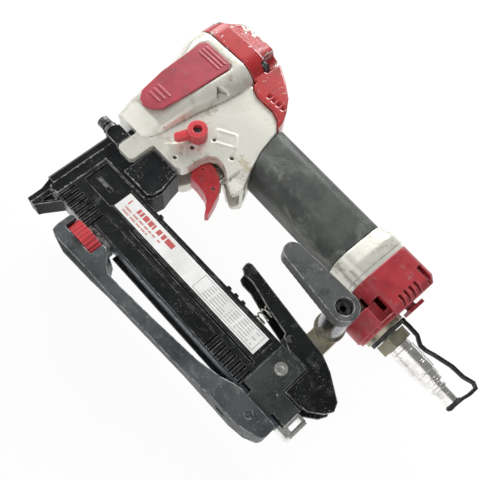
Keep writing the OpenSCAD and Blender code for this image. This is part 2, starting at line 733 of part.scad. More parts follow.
lever_profile = [
  [138, 82], [139, 84.5], [142, 85.3], [200, 78.2], [219, 76], [230, 71.5], [246.5, 61], [249, 55],
  [246, 49], [237, 42], [219, 40], [219, mag_top + 0.4], [201, mag_top + 0.4], [192.5, 65.5],
  [192, 67.5], [171, 71.3], [160.5, 73.9], [151.7, 76], [143, 75.9], [139.2, 77.6]
];
// Raised frame on each side of the lever's tail
tail_frame = [[219, 40.5], [232, 60]];
module latch_lever() color("darkslategray") difference() {
  union() {
    for (s = [-1, 1]) {
      side(lever_profile, s > 0 ? lever_in : -lever_out, s > 0 ? lever_out : -lever_in);
      y0 = s > 0 ? lever_in : -lever_out - 0.5;
      y1 = s > 0 ? lever_out + 0.5 : -lever_in;
      difference() {
        span([tail_frame[0][0], y0, tail_frame[0][1]], [tail_frame[1][0], y1, tail_frame[1][1]]);
        span([tail_frame[0][0] + 1.3, s > 0 ? lever_out : -20, tail_frame[0][1] + 1.3],
             [tail_frame[1][0] - 1.3, s > 0 ? 20 : -lever_out, tail_frame[1][1] - 1.3]);
      }
    }
    // finger strip that joins the two plates
    side([[139, 80.5], [139.5, 83.5], [142, 85], [192, 78.9], [192, 76], [172, 77.4], [154.2, 80.2], [143, 81.6]],
      -lever_in, lever_in);
    // claw behind the end block
    span([234.6, -lever_in, 50.5], [237.4, lever_in, 58]);
  }
  rod_y(lever_pivot, lever_pin_r + 0.05, -20, 20);
}

module lever_pin() color("black") rod_y(lever_pivot, lever_pin_r, -lever_out - 0.4, lever_out + 0.4);

module lever_spring() color("darkkhaki")
  translate([172, 0, mag_top]) coil(4, 4.2, 0.6, 3.65);

module rear_strut() color("olivedrab") difference() {
  side([[strut_x[0], 60.1], [strut_x[1], 60.1], [strut_x[1], 100], [strut_top_x, 103], [strut_top_x, 124.85],
        [204.5, 125.3], [strut_x[0], 124.9]], -strut_half_t, strut_half_t);
  rod_y(hook_axis, hook_screw_r, -10, 10);
}

// ---------------------------------------------------------------- hook

module hook_post() color("silver") difference() {
  rod_y(hook_axis, hook_r - 0.6, -hook_reach + arm_t + run, -strut_half_t - 2.5);
  rod_y(hook_axis, hook_screw_r, -60, 0);
}
module hook_washer() color("gray") difference() {
  rod_y(hook_axis, hook_r + 1, -strut_half_t - 2.5, -strut_half_t);
  rod_y(hook_axis, hook_screw_r, -60, 0);
}
module hook_arm() color("darkslategray") difference() {
  union() {
    rod_y(hook_axis, hook_r, -hook_reach, -hook_reach + arm_t);
    rod_y(hook_tip, tip_r, -hook_reach, -hook_reach + arm_t);
    side([[hook_axis[0], hook_axis[1] - hook_r], [hook_axis[0], hook_axis[1] + hook_r],
          [hook_tip[0], hook_tip[1] + tip_r], [hook_tip[0], hook_tip[1] - tip_r]],
      -hook_reach, -hook_reach + arm_t);
  }
  rod_y(hook_axis, 5.8, -60, -hook_reach + arm_t - 3);
  rod_y(hook_axis, hook_screw_r + 0.05, -60, 0);
}
module hook_screw() color("black") difference() {
  union() {
    rod_y(hook_axis, 5, -hook_reach + arm_t - 7.6, -hook_reach + arm_t - 3.1);
    rod_y(hook_axis, hook_screw_r, -hook_reach + arm_t - 3.1, strut_half_t);
  }
  translate([hook_axis[0], -hook_reach + arm_t - 8, hook_axis[1]]) rotate([-90, 0, 0]) cylinder(r = 2.4, h = 3, $fn = 6);
}

// ---------------------------------------------------------------- base

base_side = [
  [29.5, 3], [31.5, -2], [36.3, -3.9], [75, -2.2], [100, -1.2], [165, 1.6], [192, 3], [208, 3], [220, 4.8],
  [229, 9], [230.5, 12], [230.5, 19.5], [228.5, 20.8], [199, 20.8], [194, 19.5], [185, 16.5], [165, 13.4],
  [120, 9.6], [80, 7], [76, 9.5], [71, 15], [67, 16.8], [31.8, 15.4], [29.5, 13.5]
];
// Outline seen from above: wide at both ends, narrow between
base_plan = [
  [29, -13], [31, -base_half_w], [68, -base_half_w], [88, -8], [165, -8], [188, -16], [226, -17],
  [230.5, -14], [230.5, 14], [226, 17], [188, 16], [165, 8], [88, 8], [68, base_half_w],
  [31, base_half_w], [29, 13]
];
module base_arm() color("darkslategray") difference() {
  intersection() {
    side(base_side, -20, 20);
    translate([0, 0, -5]) linear_extrude(40) polygon(base_plan);
  }
  // pocket for the dial, open at the top and through both sides
  translate([dial_x, 0, dial_z[0] - 0.3]) cylinder(r = dial_r + 0.5, h = 20);
  span([dial_window[0], -20, dial_z[0] - 0.3], [dial_window[1], 20, 20]);
  translate([dial_x, 0, -5]) cylinder(r = stud_r + 0.8, h = 20);
  // slots for the end block's ears, and the pivot
  for (s = [-1, 1])
    span([202.5, s > 0 ? ear_in - 0.3 : -mag_half_w - 0.3, 4.8], [224.5, s > 0 ? mag_half_w + 0.3 : 0.3 - ear_in, 30]);
  rod_y(base_pivot, base_bore_r, -20, 20);
  // holes in the underside
  translate([198.5, 0, -5]) cylinder(r = 4.5, h = 12);
  translate([224.5, 0, 0]) rotate([0, -30, 0]) translate([0, 0, -5]) cylinder(r = 4, h = 10);
}

module base_pin() color("black") rod_y(base_pivot, base_bore_r - 0.05, -16.5, 16.5);

// The dial on its stud sets how far the base drops about its rear pivot
module depth_dial() color("crimson") difference() {
  translate([dial_x, 0, dial_z[0]]) cylinder(r = dial_r, h = dial_z[1] - dial_z[0]);
  translate([dial_x, 0, 0]) cylinder(r = stud_r + 0.4, h = 40);
  // finger grooves round the rim
  for (a = [0:12:348]) rotate_about_dial(a)
    translate([dial_r + 0.4, 0, 5]) cylinder(r = 1.2, h = 12, $fn = 16);
}
module rotate_about_dial(a) translate([dial_x, 0, 0]) rotate([0, 0, a]) children();

module dial_stud() color("silver") translate([dial_x, 0, 3.5]) cylinder(r = stud_r, h = 17.7);

// ---------------------------------------------------------------- nodes

housing();
cylinder_sleeve();
bumper();
head_gasket();
head_cap();
cap_bolts();
pad(-1);  // left_pad
pad(1);  // right_pad
head_valve();
head_valve_spring();
piston();
piston_ring();
driver_blade();
grip_sleeve();
end_plate();
end_cap();
end_cap_screws();
air_filter();
duster_button();
plug_flange();
plug_nut();
air_plug();
strap_ring();
plug_cap_strap();
trigger();
trigger_arm();
trigger_pin();
arm_pin();
trigger_spring();
valve_bush();
valve_stem();
lock_knob();
lock_shaft();
housing_pins();
nose_plate();
nose_body();
nose_bolts();
magazine_body();
left_cover();
right_cover();
label_plate();
sole_plate();
magazine_rail();
rail_handle();
pusher();
pusher_spring();
end_block();
end_block_bolt();
latch_lever();
lever_pin();
lever_spring();
rear_strut();
hook_post();
hook_washer();
hook_arm();
hook_screw();
base_arm();
base_pin();
depth_dial();
dial_stud();
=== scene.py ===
"""Looks of the flooring nailer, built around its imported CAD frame. Units are metres."""
import json
import math

import bmesh
import bpy
from mathutils import Matrix, Vector


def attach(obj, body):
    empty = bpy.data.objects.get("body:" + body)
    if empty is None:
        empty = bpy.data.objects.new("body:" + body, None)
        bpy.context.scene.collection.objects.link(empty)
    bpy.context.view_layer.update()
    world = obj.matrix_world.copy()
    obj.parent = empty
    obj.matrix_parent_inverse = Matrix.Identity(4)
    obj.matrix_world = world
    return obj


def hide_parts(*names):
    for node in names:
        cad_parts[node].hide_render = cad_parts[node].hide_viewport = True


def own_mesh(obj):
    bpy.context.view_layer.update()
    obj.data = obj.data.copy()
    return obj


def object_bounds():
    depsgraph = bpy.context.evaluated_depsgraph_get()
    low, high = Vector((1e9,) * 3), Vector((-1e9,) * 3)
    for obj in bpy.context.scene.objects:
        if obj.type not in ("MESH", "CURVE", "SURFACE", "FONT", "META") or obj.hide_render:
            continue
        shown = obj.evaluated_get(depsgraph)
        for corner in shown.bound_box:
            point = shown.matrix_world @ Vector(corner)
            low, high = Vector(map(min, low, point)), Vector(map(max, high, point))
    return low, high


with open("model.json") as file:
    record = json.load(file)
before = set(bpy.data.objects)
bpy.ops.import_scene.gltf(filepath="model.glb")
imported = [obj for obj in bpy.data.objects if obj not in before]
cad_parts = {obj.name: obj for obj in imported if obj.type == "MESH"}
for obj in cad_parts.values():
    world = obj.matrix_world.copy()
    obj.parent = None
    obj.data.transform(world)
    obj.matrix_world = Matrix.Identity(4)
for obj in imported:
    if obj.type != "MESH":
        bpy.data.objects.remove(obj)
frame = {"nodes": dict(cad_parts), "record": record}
CAD_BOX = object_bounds()

MM = 0.001
RECORD = frame["record"]
BODY_OF = {n: b for b, members in RECORD["behaviour"]["bodies"].items() for n in members}
SLOT_OF = {s["node"]: s["material_slot"] for s in RECORD["subparts"]}

# ------------------------------------------------------------ camera and light

CAMERA_AT = (231.8 * MM, -398.0 * MM, -45.5 * MM)
CAMERA_RIGHT = (0.67948, -0.06598, 0.73072)
CAMERA_DOWN = (0.68672, 0.40783, -0.60174)
LENS = 45.0
SENSOR = 36.0


def add_camera():
    """The camera looks up at the tool's left side, turned so that the head is at the top."""
    data = bpy.data.cameras.new("camera")
    data.lens = LENS
    data.sensor_width = SENSOR
    data.clip_start = 0.02
    camera = bpy.data.objects.new("camera", data)
    right, up = Vector(CAMERA_RIGHT), -Vector(CAMERA_DOWN)
    back = right.cross(up)
    turn = Matrix((right, up, back)).transposed().to_4x4()
    camera.matrix_world = Matrix.Translation(CAMERA_AT) @ turn
    bpy.context.collection.objects.link(camera)
    bpy.context.scene.camera = camera


def one_sided(name, colour, glow):
    """A matt material that is only there when seen from its front."""
    mat = bpy.data.materials.new(name)
    mat.use_nodes = True
    nodes, links = mat.node_tree.nodes, mat.node_tree.links
    shader = nodes["Principled BSDF"]
    shader.inputs["Base Color"].default_value = (*colour, 1)
    shader.inputs["Roughness"].default_value = 0.9
    shader.inputs["Emission Color"].default_value = (1, 1, 1, 1)
    shader.inputs["Emission Strength"].default_value = glow
    clear = nodes.new("ShaderNodeBsdfTransparent")
    mix = nodes.new("ShaderNodeMixShader")
    side = nodes.new("ShaderNodeNewGeometry")
    links.new(side.outputs["Backfacing"], mix.inputs[0])
    links.new(shader.outputs[0], mix.inputs[1])
    links.new(clear.outputs[0], mix.inputs[2])
    links.new(mix.outputs[0], nodes["Material Output"].inputs["Surface"])
    return mat


def add_sheet(name, centre, normal, size, mat):
    """A square sheet of the stage that faces along normal."""
    mesh = bpy.data.meshes.new(name)
    half = size / 2
    corners = [(-half, -half, 0), (half, -half, 0), (half, half, 0), (-half, half, 0)]
    mesh.from_pydata(corners, [], [(0, 1, 2, 3)])
    sheet = bpy.data.objects.new(name, mesh)
    turn = Vector(normal).to_track_quat("Z", "Y").to_matrix().to_4x4()
    sheet.matrix_world = Matrix.Translation(centre) @ turn
    mesh.materials.append(mat)
    bpy.context.collection.objects.link(sheet)


def add_area(name, at, target, size, power):
    """A white square lamp that faces target."""
    data = bpy.data.lights.new(name, "AREA")
    data.shape = "SQUARE"
    data.size = size
    data.energy = power
    lamp = bpy.data.objects.new(name, data)
    way = Vector(target) - Vector(at)
    lamp.matrix_world = Matrix.Translation(at) @ way.to_track_quat("-Z", "Y").to_matrix().to_4x4()
    bpy.context.collection.objects.link(lamp)


# name: place from the object's middle in metres, width of the lamp in metres, power in watts
LIGHTS = {
    "key": ((-0.35, -0.35, 0.65), 0.3, 5.2),
    "fill": ((0.7, -0.55, -0.1), 0.4, 1.2),
    "front": ((-0.65, -0.35, 0.4), 0.4, 2.2),
    "rim": ((0.35, 0.4, 0.7), 0.4, 3.5),
}
WORLD_STRENGTH = 0.22
STAGE_SIZE = 3.0
FLOOR_DROP = 0.0005
BACKDROP_GAP = 0.004


def add_studio():
    """A pale floor, a bright backdrop behind the tool, soft lamps and a dim white world."""
    low, high = Vector(CAD_BOX[0]), Vector(CAD_BOX[1])
    middle = (low + high) / 2
    pale = one_sided("stage_pale", (0.8, 0.8, 0.8), 0.2)
    bright = one_sided("stage_bright", (0.05, 0.05, 0.05), 0.95)
    add_sheet("floor", (middle.x, middle.y, low.z - FLOOR_DROP), (0, 0, 1), STAGE_SIZE, pale)
    add_sheet("backdrop", (middle.x, high.y + BACKDROP_GAP, middle.z), (0, -1, 0), STAGE_SIZE, bright)
    world = bpy.data.worlds.new("studio")
    world.use_nodes = True
    world.node_tree.nodes["Background"].inputs[0].default_value = (1, 1, 1, 1)
    world.node_tree.nodes["Background"].inputs[1].default_value = WORLD_STRENGTH
    bpy.context.scene.world = world
    bpy.context.scene.view_settings.view_transform = "Standard"
    for name, (place, size, power) in LIGHTS.items():
        add_area(name, middle + Vector(place), middle, size, power)


# ------------------------------------------------------------ materials

class Finish:
    """A material made of layers over the object's own coordinates."""

    def __init__(self, name, colour, roughness, metallic=0.0, coat=0.0, specular=0.5):
        self.mat = bpy.data.materials.new(name)
        self.mat.use_nodes = True
        self.nodes, self.links = self.mat.node_tree.nodes, self.mat.node_tree.links
        self.shader = self.nodes["Principled BSDF"]
        self.place = self.nodes.new("ShaderNodeTexCoord").outputs["Object"]
        self.colour = colour
        self.rough = roughness
        self.metal = metallic
        self.height = None
        self.shader.inputs["Metallic"].default_value = metallic
        self.shader.inputs["Roughness"].default_value = roughness
        self.shader.inputs["Coat Weight"].default_value = coat
        self.shader.inputs["Coat Roughness"].default_value = 0.15
        self.shader.inputs["Specular IOR Level"].default_value = specular

    def stretched(self, stretch):
        """Coordinates times stretch, so features grow along an axis where it is small."""
        node = self.nodes.new("ShaderNodeMapping")
        self.links.new(self.place, node.inputs["Vector"])
        node.inputs["Scale"].default_value = stretch
        return node.outputs[0]

    def turned(self, stretch, turn):
        """Coordinates turned by angles in degrees, then stretched."""
        first = self.nodes.new("ShaderNodeMapping")
        self.links.new(self.place, first.inputs["Vector"])
        first.inputs["Rotation"].default_value = [math.radians(a) for a in turn]
        node = self.nodes.new("ShaderNodeMapping")
        self.links.new(first.outputs[0], node.inputs["Vector"])
        node.inputs["Scale"].default_value = stretch
        return node.outputs[0]

    def noise(self, size, detail=4.0, roughness=0.6, vector=None, warp=0.0):
        """Noise whose features are about size metres across."""
        node = self.nodes.new("ShaderNodeTexNoise")
        self.links.new(vector or self.place, node.inputs["Vector"])
        node.inputs["Scale"].default_value = 1.0 / size
        node.inputs["Detail"].default_value = detail
        node.inputs["Roughness"].default_value = roughness
        node.inputs["Distortion"].default_value = warp
        return node.outputs["Fac"]

    def ramp(self, value, low, high, to_low=0.0, to_high=1.0):
        """A smooth step from to_low at low to to_high at high."""
        node = self.nodes.new("ShaderNodeMapRange")
        node.interpolation_type = "SMOOTHSTEP"
        self.links.new(value, node.inputs["Value"])
        node.inputs["From Min"].default_value = low
        node.inputs["From Max"].default_value = high
        node.inputs["To Min"].default_value = to_low
        node.inputs["To Max"].default_value = to_high
        return node.outputs["Result"]

    def math(self, kind, a, b):
        node = self.nodes.new("ShaderNodeMath")
        node.operation = kind
        for socket, value in zip(node.inputs, (a, b)):
            if isinstance(value, (int, float)):
                socket.default_value = value
            else:
                self.links.new(value, socket)
        return node.outputs[0]

    def axis(self, index):
        """The object's own X, Y or Z in metres."""
        node = self.nodes.new("ShaderNodeSeparateXYZ")
        self.links.new(self.place, node.inputs[0])
        return node.outputs[index]

    def convex(self, low, high):
        """High on outer edges, from how pointed the mesh is there."""
        node = self.nodes.new("ShaderNodeNewGeometry")
        return self.ramp(node.outputs["Pointiness"], low, high)

    def hollow_shade(self, low, high, most):
        """High in inner corners, up to most; the mask that paints shade into them."""
        node = self.nodes.new("ShaderNodeNewGeometry")
        return self.ramp(node.outputs["Pointiness"], low, high, 0.0, most)

    def times(self, *masks):
        """The product of masks and numbers."""
        product = masks[0]
        for mask in masks[1:]:
            product = self.math("MULTIPLY", product, mask)
        return product

    def blend_colour(self, factor, a, b):
        node = self.nodes.new("ShaderNodeMix")
        node.data_type = "RGBA"
        self.links.new(factor, node.inputs["Factor"])
        for socket, value in ((node.inputs[6], a), (node.inputs[7], b)):
            if isinstance(value, tuple):
                socket.default_value = (*value, 1)
            else:
                self.links.new(value, socket)
        return node.outputs[2]

    def blend_value(self, factor, a, b):
        node = self.nodes.new("ShaderNodeMix")
        self.links.new(factor, node.inputs["Factor"])
        for socket, value in ((node.inputs["A"], a), (node.inputs["B"], b)):
            if isinstance(value, (int, float)):
                socket.default_value = value
            else:
                self.links.new(value, socket)
        return node.outputs["Result"]

    def cover(self, mask, colour=None, roughness=None, metallic=None):
        """Lays another surface over this one where mask is high."""
        if colour is not None:
            self.colour = self.blend_colour(mask, self.colour, colour)
        if roughness is not None:
            self.rough = self.blend_value(mask, self.rough, roughness)
        if metallic is not None:
            self.metal = self.blend_value(mask, self.metal, metallic)

    def tone(self, size, dark, light, detail=4.0):
        """Lets the colour drift between a darker and a lighter one."""
        where = self.noise(size, detail)
        self.cover(self.ramp(where, 0.35, 0.6, 0.0, 1.0), colour=light)
        self.cover(self.ramp(self.noise(size * 0.6, detail), 0.45, 0.75, 0.0, 0.8), colour=dark)

    def lift(self, value, amount):
        """Adds value, times amount metres, to the surface's height."""
        scaled = self.math("MULTIPLY", value, amount)
        self.height = scaled if self.height is None else self.math("ADD", self.height, scaled)
        return self

    def done(self):
        """Links the layers to the shader and gives the material."""
        self.links.new(self.colour, self.shader.inputs["Base Color"])
        # a number that no layer covered is on the socket already
        for value, socket in ((self.rough, "Roughness"), (self.metal, "Metallic")):
            if not isinstance(value, (int, float)):
                self.links.new(value, self.shader.inputs[socket])
        if self.height is not None:
            bump = self.nodes.new("ShaderNodeBump")
            bump.inputs["Strength"].default_value = 1.0
            bump.inputs["Distance"].default_value = 1.0
            self.links.new(self.height, bump.inputs["Height"])
            self.links.new(bump.outputs[0], self.shader.inputs["Normal"])
        return self.mat


def scratches(f, amount, turn=(0, 0, 0), length=0.02, width=0.0003):
    """Thin straight marks, high where the surface is scratched."""
    where = f.turned((width / length, 1, 1), turn)
    fine = f.noise(width, 2.0, 0.5, where)
    patches = f.ramp(f.noise(0.018, 2.0), 0.45, 0.65)
    return f.math("MULTIPLY", f.ramp(fine, 0.75 - 0.1 * amount, 0.8), patches)


def silver_paint():
    f = Finish("cast_silver", (0.66, 0.655, 0.58), 0.28, metallic=0.35, coat=0.4)
    f.tone(0.05, (0.56, 0.55, 0.47), (0.72, 0.715, 0.64))
    fine = f.noise(0.0006, 2.0)
    f.cover(f.ramp(fine, 0.4, 0.6, 0.0, 0.3), colour=(0.76, 0.76, 0.70))
    grime = f.times(f.ramp(f.noise(0.012, 8.0, 0.7), 0.50, 0.64), f.ramp(f.noise(0.05, 2.0), 0.48, 0.60))
    f.cover(f.times(grime, 0.75), colour=(0.26, 0.21, 0.12), roughness=0.6)
    # painted shade: inner corners of the silver paint darkened as if shadowed
    f.cover(f.hollow_shade(0.494, 0.465, 0.85), colour=(0.10, 0.09, 0.06), roughness=0.7)
    marks = f.math("MAXIMUM", scratches(f, 0.6, (20, 35, 10)), scratches(f, 0.5, (70, -20, 50)))
    f.cover(f.times(marks, 0.5), colour=(0.30, 0.28, 0.23), roughness=0.5)
    chips = f.ramp(f.noise(0.0016, 3.0, 0.55), 0.69, 0.72)
    where = f.ramp(f.noise(0.02, 2.0), 0.48, 0.58)
    f.cover(f.times(chips, where), colour=(0.10, 0.09, 0.07), roughness=0.55)
    f.lift(fine, 0.00002).lift(f.noise(0.004, 3.0), 0.00008)
    return f.done()


def red_cap_paint():
    f = Finish("cap_red", (0.36, 0.012, 0.015), 0.28, coat=0.5)
    f.tone(0.03, (0.25, 0.008, 0.010), (0.42, 0.020, 0.022))
    height, along = f.axis(2), f.axis(0)
    top = f.ramp(height, 0.196, 0.218)
    front = f.ramp(along, 0.030, -0.020)
    edge = f.convex(0.503, 0.525)
    spots = f.noise(0.0055, 6.0, 0.68, warp=0.3)
    crown = f.ramp(along, 0.040, 0.030, 0.25, 1.0)
    limit = f.math("ADD", f.times(top, 0.10), f.times(edge, 0.09))
    limit = f.math("ADD", f.times(limit, crown), f.times(front, top, 0.05))
    chipped = f.ramp(f.math("ADD", spots, limit), 0.660, 0.672)
    f.cover(chipped, colour=(0.44, 0.44, 0.41), roughness=0.42, metallic=0.7)
    small = f.ramp(f.noise(0.0015, 3.0, 0.5), 0.665, 0.685)
    where = f.ramp(f.noise(0.012, 2.0), 0.45, 0.58)
    f.cover(f.times(small, where), colour=(0.60, 0.55, 0.50), roughness=0.5)
    rim = f.math("SUBTRACT", f.ramp(f.math("ADD", spots, limit), 0.640, 0.660), chipped)
    f.cover(f.times(rim, 0.6), colour=(0.50, 0.16, 0.13))
    dirt = f.ramp(f.noise(0.010, 8.0, 0.7), 0.56, 0.72, 0.0, 0.55)
    f.cover(dirt, colour=(0.16, 0.03, 0.025), roughness=0.6)
    f.lift(chipped, -0.00015).lift(f.noise(0.0012, 2.0), 0.00002)
    return f.done()


def red_moulded(name, colour, roughness, dust):
    f = Finish(name, colour, roughness, coat=0.1)
    f.tone(0.02, tuple(0.7 * c for c in colour), tuple(min(1.0, 1.2 * c + 0.01) for c in colour))
    patches = f.ramp(f.noise(0.006, 8.0, 0.7), 0.52, 0.7)
    f.cover(f.times(patches, dust), colour=(0.36, 0.20, 0.19), roughness=0.7)
    # painted shade: inner corners darkened to a deep red as if shadowed
    f.cover(f.hollow_shade(0.494, 0.46, 0.8), colour=(0.05, 0.008, 0.01), roughness=0.7)
    # painted highlight: every outer edge made paler, as if it caught the light
    edge_highlight_colour = tuple(min(1.0, 1.5 * c + 0.12) for c in colour)
    f.cover(f.times(f.convex(0.505, 0.55), 0.55), colour=edge_highlight_colour)
    f.cover(f.times(scratches(f, 0.6, (30, 20, 40)), 0.5), colour=(0.55, 0.30, 0.28), roughness=0.6)
    f.lift(f.noise(0.0004, 2.0), 0.00002)
    return f.done()


def black_worn(name, colour, roughness, metallic, bare_and_highlit_edge_colour, dust, edge_wear_and_highlight):
    """Black parts: grey dust in patches, pale scratches, painted shade in inner corners, outer edges paled
    partly by bare wear and partly as a painted highlight.
    """
    f = Finish(name, colour, roughness, metallic=metallic, specular=0.12)
    f.tone(0.03, tuple(0.5 * c for c in colour), tuple(1.5 * c for c in colour))
    patches = f.ramp(f.noise(0.010, 9.0, 0.74, warp=0.5), 0.52, 0.70)
    f.cover(f.times(patches, dust), colour=(0.17, 0.18, 0.17), roughness=0.75)
    specks = f.times(f.ramp(f.noise(0.0011, 3.0, 0.6), 0.62, 0.70), f.ramp(f.noise(0.016, 3.0), 0.42, 0.60))
    f.cover(f.times(specks, 0.85), colour=(0.36, 0.36, 0.34), roughness=0.7)
    marks = f.math("MAXIMUM", scratches(f, 0.8, (0, 15, 0)), scratches(f, 0.7, (60, 40, 20), 0.012))
    f.cover(f.times(marks, 0.65), colour=(0.36, 0.37, 0.36), roughness=0.5)
    # painted shade: inner corners darkened to near black as if shadowed
    f.cover(f.hollow_shade(0.492, 0.46, 0.9), colour=(0.003, 0.003, 0.003), roughness=0.8)
    # pale outer edges: partly bare wear, partly a painted highlight along the rubbed edges
    rubbed_and_highlit_edges = f.times(f.convex(0.508, 0.545), f.ramp(f.noise(0.005, 5.0, 0.7), 0.36, 0.56))
    f.cover(f.times(rubbed_and_highlit_edges, edge_wear_and_highlight), colour=bare_and_highlit_edge_colour, roughness=0.38, metallic=min(1.0, metallic + 0.4))
    f.lift(f.noise(0.0005, 3.0), 0.00003).lift(f.noise(0.003, 2.0), 0.00006)
    return f.done()


def grip_rubber():
    f = Finish("grip_rubber", (0.034, 0.038, 0.035), 0.46, specular=0.4)
    f.tone(0.03, (0.022, 0.024, 0.023), (0.070, 0.078, 0.070))
    smears = f.ramp(f.noise(0.022, 9.0, 0.74, f.stretched((0.7, 1, 1)), warp=0.8), 0.50, 0.68)
    f.cover(f.times(smears, 0.7), colour=(0.20, 0.21, 0.18), roughness=0.8)
    bright = f.ramp(f.noise(0.008, 9.0, 0.75, warp=1.0), 0.64, 0.74)
    f.cover(f.times(bright, 0.5), colour=(0.42, 0.42, 0.38), roughness=0.85)
    f.cover(f.times(scratches(f, 0.8, (10, 5, 0), 0.03, 0.0004), 0.4), colour=(0.34, 0.34, 0.31))
    f.lift(f.noise(0.0007, 3.0), 0.00006).lift(f.noise(0.006, 3.0), 0.00012)
    return f.done()


def bare_metal(name, colour, roughness, stain, stains, grain):
    """Bare or plated metal with stains and a faint machining grain."""
    f = Finish(name, colour, roughness, metallic=1.0)
    f.tone(0.01, tuple(0.8 * c for c in colour), tuple(min(1.0, 1.12 * c) for c in colour))
    patches = f.ramp(f.noise(0.006, 8.0, 0.7), 0.5, 0.7)
    f.cover(f.times(patches, stains), colour=stain, roughness=min(0.8, roughness + 0.3))
    lines = f.noise(0.002, 3.0, 0.6, f.stretched(grain))
    f.cover(f.ramp(lines, 0.45, 0.65, 0.0, 0.5), roughness=min(0.7, roughness + 0.15))
    return f.done()


def label_print():
    """White label with plain bars and a frame where a maker would print."""
    f = Finish("label_white", (0.74, 0.74, 0.72), 0.35, coat=0.2)
    f.tone(0.02, (0.74, 0.74, 0.71), (0.86, 0.86, 0.85))
    along, up = f.axis(0), f.axis(2)

    def bar(x0, x1, z0, z1):
        """High inside a rectangle, given in mm in the tool's own frame."""
        edge = 0.12
        sides = [f.ramp(along, (x0 - edge) * MM, x0 * MM), f.ramp(along, (x1 + edge) * MM, x1 * MM),
                 f.ramp(up, (z0 - edge) * MM, z0 * MM), f.ramp(up, (z1 + edge) * MM, z1 * MM)]
        return f.times(*sides)

    broken = f.ramp(f.noise(0.0024, 0.0, 0.5, f.stretched((1, 1, 0.1))), 0.40, 0.46)
    red = (0.50, 0.03, 0.03)
    dull_red = (0.50, 0.06, 0.05)
    f.cover(f.times(bar(48, 96, 50.2, 54.2), broken, 0.9), colour=red)
    f.cover(f.times(bar(48, 88, 46.8, 48.2), broken, 0.7), colour=dull_red)
    f.cover(f.times(bar(48, 76, 44.0, 45.2), broken, 0.7), colour=dull_red)
    frame_mask = f.math("SUBTRACT", bar(126, 185, 43.3, 55.7), bar(126.4, 184.6, 43.7, 55.3))
    f.cover(f.times(frame_mask, 0.7), colour=(0.10, 0.10, 0.10))
    for row in range(5):
        z = 45.0 + row * 2.1
        line = bar(134, 182 - 5 * (row % 2), z, z + 0.7)
        f.cover(f.times(line, broken, 0.55), colour=(0.16, 0.16, 0.16))
    dirt = f.ramp(f.noise(0.003, 8.0, 0.75), 0.60, 0.72, 0.0, 0.4)
    f.cover(dirt, colour=(0.35, 0.33, 0.30), roughness=0.6)
    f.cover(f.times(scratches(f, 0.5, (0, 30, 0)), 0.4), colour=(0.40, 0.38, 0.35))
    f.lift(f.noise(0.0015, 2.0), 0.00001)
    return f.done()


def filter_felt():
    f = Finish("filter_tan", (0.45, 0.36, 0.22), 0.9)
    f.tone(0.004, (0.35, 0.27, 0.16), (0.52, 0.43, 0.28))
    f.lift(f.noise(0.0004, 3.0), 0.0001)
    return f.done()


# name: colour, roughness, dust
RED_MOULDED = {
    "end_red": ((0.34, 0.020, 0.030), 0.40, 0.55),
    "pad_red": ((0.30, 0.016, 0.034), 0.42, 0.25),
    "trigger_red": ((0.48, 0.032, 0.042), 0.3, 0.35),
}

# name: colour, roughness, metallic, colour of the worn and painted-highlight edges, dust, amount of edge
# wear and painted edge highlight
BLACK_WORN = {
    "black_metal": ((0.010, 0.011, 0.012), 0.30, 0.0, (0.44, 0.44, 0.43), 0.06, 0.9),
    "black_plastic": ((0.011, 0.012, 0.012), 0.34, 0.0, (0.34, 0.35, 0.34), 0.28, 0.95),
    "base_grey": ((0.060, 0.067, 0.070), 0.36, 0.0, (0.42, 0.44, 0.45), 0.95, 0.95),
    "hook_black": ((0.070, 0.074, 0.072), 0.30, 0.0, (0.46, 0.47, 0.46), 1.0, 0.95),
    "block_black": ((0.045, 0.050, 0.047), 0.36, 0.0, (0.42, 0.43, 0.42), 0.6, 0.9),
    "fastener_black": ((0.015, 0.015, 0.015), 0.35, 0.8, (0.3, 0.3, 0.3), 0.3, 0.5),
    "seal_rubber": ((0.014, 0.014, 0.014), 0.5, 0.0, (0.10, 0.10, 0.10), 0.3, 0.5),
}

# name: colour, roughness, colour of the stains, amount of stains, stretch of the grain
BARE_METAL = {
    "plug_bright": ((0.88, 0.87, 0.85), 0.18, (0.34, 0.30, 0.24), 0.2, (1, 1, 1)),
    "bright_steel": ((0.82, 0.81, 0.79), 0.22, (0.25, 0.21, 0.15), 0.35, (1, 1, 1)),
    "rail_steel": ((0.15, 0.17, 0.20), 0.34, (0.05, 0.055, 0.06), 0.6, (0.02, 1, 1)),
    "chrome": ((0.26, 0.26, 0.28), 0.2, (0.03, 0.03, 0.035), 0.8, (1, 1, 1)),
    "zinc": ((0.40, 0.37, 0.28), 0.34, (0.10, 0.085, 0.05), 0.6, (1, 1, 1)),
    "spring_steel": ((0.50, 0.47, 0.40), 0.3, (0.20, 0.16, 0.10), 0.5, (1, 1, 1)),
}

MATERIALS = {
    "cast_silver": silver_paint(),
    "cap_red": red_cap_paint(),
    "grip_rubber": grip_rubber(),
    "label_white": label_print(),
    "filter_tan": filter_felt(),
}
for make, table in ((red_moulded, RED_MOULDED), (black_worn, BLACK_WORN), (bare_metal, BARE_METAL)):
    for name, settings in table.items():
        MATERIALS[name] = make(name, *settings)

# Nodes whose wear differs from the rest of their slot
OWN_FINISH = {"hook_arm": "hook_black", "end_block": "block_black", "air_plug": "plug_bright"}


def dress(obj, node):
    """Gives an object its node's material on all its faces."""
    obj.data.materials.clear()
    obj.data.materials.append(MATERIALS[OWN_FINISH.get(node, SLOT_OF[node])])


# ------------------------------------------------------------ pieces made from CAD shapes

def applied(obj):
    """Turns an object's modifiers into plain mesh."""
    graph = bpy.context.evaluated_depsgraph_get()
    mesh = bpy.data.meshes.new_from_object(obj.evaluated_get(graph))
    old = obj.data
    obj.modifiers.clear()
    obj.data = mesh
    bpy.data.meshes.remove(old)


